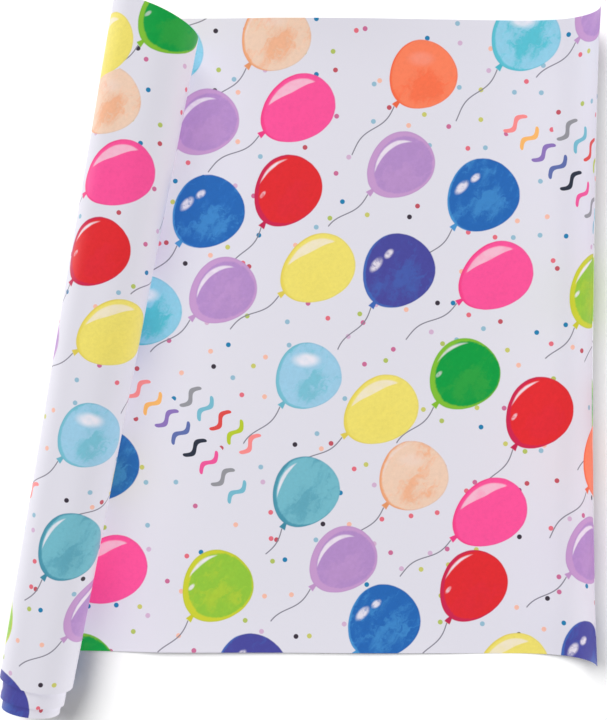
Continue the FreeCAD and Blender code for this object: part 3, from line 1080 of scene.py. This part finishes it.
def greyboard():
    """Wound greyboard: fibre flecks and the slanting seams of the plies."""
    material, nodes, surface = new_material("core_greyboard")
    place = mapped_place(nodes)
    around, along, _ = nodes.separate(place)
    slant = nodes.times_plus(around, SEAM_SLANT, along)
    seam = nodes.step(nodes.math("PINGPONG", slant, SEAM_PITCH / 2), 0.5, 0.1)
    flecks = nodes.noise(place, 0.7, 4.0, 0.7)
    clouds = nodes.noise(place, 0.05, 3.0)
    colour = nodes.mix(nodes.step(flecks, 0.3, 0.7), ink(BOARD_DARK), ink(BOARD_LIGHT))
    colour = nodes.mix(nodes.times(clouds, 0.4), colour, ink(BOARD_CLOUD))
    colour = nodes.mix(nodes.times(seam, 0.7), colour, ink(BOARD_SEAM))
    nodes.put(surface.inputs["Base Color"], colour)
    nodes.put(surface.inputs["Roughness"], nodes.times_plus(flecks, 0.15, 0.78))
    height = nodes.minus(flecks, nodes.times(seam, 1.5))
    bump(nodes, surface, height, strength=0.5, distance=0.15 * MM)
    return material


def clear_tape():
    """Glossy, faintly yellowed tape with fine streaks."""
    material, nodes, surface = new_material("clear_tape")
    around, along, _ = nodes.separate(mapped_place(nodes))
    stretched = nodes.combine(nodes.times(around, 3.0), nodes.times(along, 0.1))
    streaks = nodes.noise(stretched, 0.5, 3.0)
    colour = nodes.mix(streaks, ink(TAPE_DARK), ink(TAPE_LIGHT))
    nodes.put(surface.inputs["Base Color"], colour)
    nodes.put(surface.inputs["Roughness"], nodes.times_plus(streaks, 0.15, 0.12))
    bump(nodes, surface, streaks, strength=0.15, distance=0.05 * MM)
    return material


# -------- floor, light and camera

# The surroundings' light; the camera itself sees them as white.
WHITE = (1.0, 1.0, 1.0, 1.0)
WORLD_LIGHT = 0.30
FLOOR_REACH = 60.0
FLOOR_DROP = 0.05 * MM
# How wide the lights look, in radians.
PAPER_LIGHT_WIDTH = 0.5
FLOOR_LIGHT_WIDTH = 0.6
CAMERA_HEIGHT = 1.45
FIELD_HEIGHT = 0.797
CAMERA_SHIFT = -27 * MM
CAMERA_TURN = math.radians(0.35)
SENSOR = 36.0


def pale_floor():
    """A plain white floor, large enough to fill every view."""
    mesh = bpy.data.meshes.new("floor")
    signs = [(-1, -1), (1, -1), (1, 1), (-1, 1)]
    corners = [(x * FLOOR_REACH, y * FLOOR_REACH, -FLOOR_DROP) for x, y in signs]
    mesh.from_pydata(corners, [], [(0, 1, 2, 3)])
    floor = new_object("floor", mesh)
    material, _, surface = new_material("floor_white")
    surface.inputs["Base Color"].default_value = WHITE
    surface.inputs["Roughness"].default_value = 0.8
    mesh.materials.append(material)
    return floor


def soft_light(name, place, energy, width, lit, shadow=True):
    """A soft light aimed at the middle of the web, which reaches only the objects in lit.

    One without shadows doesn't show in glossy surfaces either.
    """
    data = bpy.data.lights.new(name, "SUN")
    data.energy = energy
    data.angle = width
    data.use_shadow = shadow
    light = new_object(name, data)
    light.location = place
    light.rotation_euler = (-Vector(place)).to_track_quat("-Z", "Y").to_euler()
    light.light_linking.receiver_collection = lit
    light.visible_glossy = shadow


def lit_group(name, objects):
    """A collection of the objects that a light reaches."""
    group = bpy.data.collections.new(name)
    for item in objects:
        group.objects.link(item)
    return group


def studio(pieces, floor):
    """Even white surroundings, a soft key light and two fill lights without shadows.

    The floor has a stronger key light of its own, so that the shadows on it are
    stronger than those on the paper.
    """
    world = bpy.data.worlds.new("studio")
    world.use_nodes = True
    background = world.node_tree.nodes["Background"]
    background.inputs[0].default_value = WHITE
    nodes = Nodes(world.node_tree)
    seen = nodes.add("ShaderNodeLightPath")["Is Camera Ray"]
    nodes.put(background.inputs[1], nodes.times_plus(seen, 1.0 - WORLD_LIGHT, WORLD_LIGHT))
    bpy.context.scene.world = world
    paper = lit_group("lit_paper", pieces)
    ground = lit_group("lit_floor", [floor])
    width = PAPER_LIGHT_WIDTH
    soft_light("paper_key", (-0.5, 1.7, 1.7), 0.75, width, paper)
    soft_light("left_fill", (-2.0, 0.3, 1.15), 1.53, width, paper, shadow=False)
    soft_light("right_fill", (2.0, -0.3, 1.15), 1.64, width, paper, shadow=False)
    soft_light("floor_key", (-1.0, 1.3, 2.4), 2.9, FLOOR_LIGHT_WIDTH, ground)
    bpy.context.scene.view_settings.view_transform = "Standard"


def overhead_camera():
    """A camera straight above, a little below the middle of the web's width."""
    data = bpy.data.cameras.new("camera")
    data.sensor_width = SENSOR
    data.lens = SENSOR * CAMERA_HEIGHT / FIELD_HEIGHT
    camera = new_object("camera", data)
    camera.location = (0.0, CAMERA_SHIFT, CAMERA_HEIGHT)
    camera.rotation_euler = (0.0, 0.0, CAMERA_TURN)
    bpy.context.scene.camera = camera


# -------- build the scene


def build():
    """Every piece, then the studio and the camera."""
    artwork = print_group()
    web = printed_paper("printed_web", artwork, on_table=True)
    paper = printed_paper("printed_roll", artwork, on_table=False)
    pieces = [
        main_sheet(web),
        curled_end(paper),
        lead_in(paper),
        outer_turn(paper),
        second_turn(paper),
        inner_turns(paper),
        *core(greyboard()),
        start_tape(clear_tape()),
    ]
    studio(pieces, pale_floor())
    overhead_camera()


build()
